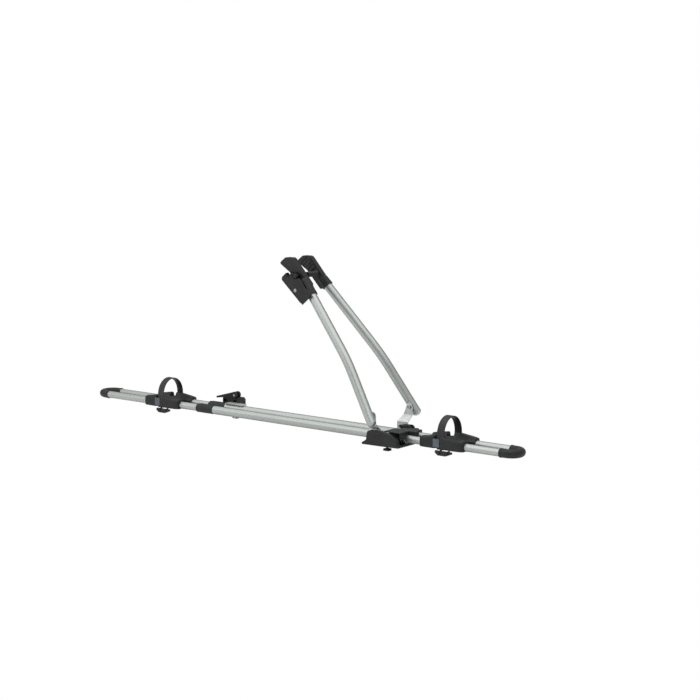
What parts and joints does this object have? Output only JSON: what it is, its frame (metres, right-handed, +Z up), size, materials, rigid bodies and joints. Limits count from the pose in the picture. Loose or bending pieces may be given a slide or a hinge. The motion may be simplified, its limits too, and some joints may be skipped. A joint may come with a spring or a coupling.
{
  "type": "roof bike carrier",
  "caption": "Roof mounted bike carrier: twin tube tray on two clamp feet, folding arms with a padded frame holder, sliding wheel holders with straps",
  "frame": {"origin": "on the roof bar under the front foot: middle of the bar's slot bolts, centre plane, underside of the front rubber pad", "axes": "+X along the rails to the front, +Y across to the far side, +Z up; the near side with the lockable cover is -Y"},
  "size_m": [1.4645, 0.2236, 0.4767],
  "materials": {
    "satin_aluminium": "satin anodised",
    "black_moulding": "fine grained",
    "grey_moulding": "smooth",
    "strap_plastic": "toothed",
    "black_rubber": "matt",
    "bright_sheet": "satin",
    "zinc_steel": "zinc plated",
    "black_steel": "black oxide",
    "lock_chrome": "polished"
  },
  "bodies": {
    "tray": {"near_centre_rail": "satin_aluminium", "far_centre_rail": "satin_aluminium", "near_rear_rail": "satin_aluminium", "far_rear_rail": "satin_aluminium", "near_front_rail": "satin_aluminium", "far_front_rail": "satin_aluminium", "rear_end_bow": "black_moulding", "front_end_bow": "black_moulding", "near_rail_sleeve": "black_moulding", "far_rail_sleeve": "black_moulding", "rail_screws": "zinc_steel", "front_foot_base": "black_moulding", "front_foot_pad": "black_rubber", "arm_bracket": "bright_sheet", "front_saddle": "black_moulding", "saddle_screws": "zinc_steel", "front_near_bolt": "black_steel", "front_bolt_washer": "zinc_steel", "front_bolt_nut": "zinc_steel", "front_far_bolt": "black_steel", "cover_hinge_pin": "zinc_steel", "lever_pins": "zinc_steel", "rear_foot_base": "black_moulding", "rear_foot_pad": "black_rubber", "rear_bolt": "black_steel", "rear_clamp_plate": "bright_sheet", "pivot_bolts": "zinc_steel", "pivot_spacers": "zinc_steel", "pivot_bushes": "zinc_steel", "pivot_nuts": "zinc_steel"},
    "far_arm_body": {"far_arm": "satin_aluminium", "far_arm_plug": "satin_aluminium", "far_jaw": "black_moulding", "far_jaw_pad": "black_rubber", "far_jaw_rivets": "black_steel", "spindle": "black_steel", "spindle_sleeve": "satin_aluminium", "spindle_nut": "black_steel"},
    "near_arm_body": {"near_arm": "satin_aluminium", "near_arm_plug": "satin_aluminium", "near_jaw": "black_moulding", "near_jaw_pad": "black_rubber", "near_jaw_rivets": "black_steel", "frame_lever_pin": "zinc_steel"},
    "frame_lever_body": {"frame_lever": "black_moulding"},
    "frame_lock": {"frame_lock_barrel": "lock_chrome"},
    "cover": {"front_cover": "black_moulding"},
    "cover_lock": {"cover_lock_barrel": "lock_chrome"},
    "front_lever": {"front_clamp_lever": "black_moulding"},
    "rear_lever": {"rear_clamp_lever": "black_moulding"},
    "rear_holder": {"rear_wheel_holder": "black_moulding", "rear_strap": "strap_plastic", "rear_strap_plate": "grey_moulding", "rear_latch_pin": "zinc_steel"},
    "rear_latch": {"rear_strap_latch": "black_moulding"},
    "front_holder": {"front_wheel_holder": "black_moulding", "front_strap": "strap_plastic", "front_strap_plate": "grey_moulding", "front_latch_pin": "zinc_steel"},
    "front_latch": {"front_strap_latch": "black_moulding"}
  },
  "joints": [
    {"name": "arm_fold", "type": "hinge", "parent": "tray", "child": "far_arm_body", "pos_m": [-0.0241, 0, 0.0845], "axis": [0, 1, 0], "range_deg": [-51.6, 50]},
    {"name": "near_arm_spread", "type": "hinge", "parent": "far_arm_body", "child": "near_arm_body", "pos_m": [-0.0241, -0.0966, 0.0845], "axis": [0.7811, 0, 0.6244], "range_deg": [-3.3, 1]},
    {"name": "frame_lever_swing", "type": "hinge", "parent": "near_arm_body", "child": "frame_lever_body", "pos_m": [-0.31389, -0.0535, 0.42205], "axis": [-0.7489, 0, -0.6627], "range_deg": [0, 110]},
    {"name": "frame_lock_turn", "type": "hinge", "parent": "frame_lever_body", "child": "frame_lock", "pos_m": [-0.29189, -0.06, 0.38542], "axis": [0, -1, 0], "range_deg": [0, 90]},
    {"name": "cover_swing", "type": "hinge", "parent": "tray", "child": "cover", "pos_m": [0.006, -0.0685, 0.0125], "axis": [1, 0, 0], "range_deg": [0, 65]},
    {"name": "cover_lock_turn", "type": "hinge", "parent": "cover", "child": "cover_lock", "pos_m": [-0.016, -0.075, 0.03], "axis": [0, -1, 0], "range_deg": [0, 90]},
    {"name": "front_lever_lift", "type": "hinge", "parent": "tray", "child": "front_lever", "pos_m": [0, 0.0495, 0.0335], "axis": [0, 1, 0], "range_deg": [0, 100]},
    {"name": "rear_lever_lift", "type": "hinge", "parent": "tray", "child": "rear_lever", "pos_m": [-0.603, 0.0495, 0.0585], "axis": [0, 1, 0], "range_deg": [0, 100]},
    {"name": "rear_holder_slide", "type": "slide", "parent": "tray", "child": "rear_holder", "axis": [1, 0, 0], "range_m": [-0.15, 0.06]},
    {"name": "front_holder_slide", "type": "slide", "parent": "tray", "child": "front_holder", "axis": [1, 0, 0], "range_m": [-0.02, 0.095]},
    {"name": "rear_latch_swing", "type": "hinge", "parent": "rear_holder", "child": "rear_latch", "pos_m": [-0.7972, -0.041, 0.0062], "axis": [-1, 0, 0], "range_deg": [0, 60]},
    {"name": "front_latch_swing", "type": "hinge", "parent": "front_holder", "child": "front_latch", "pos_m": [0.1713, -0.041, 0.0062], "axis": [-1, 0, 0], "range_deg": [0, 60]}
  ]
}
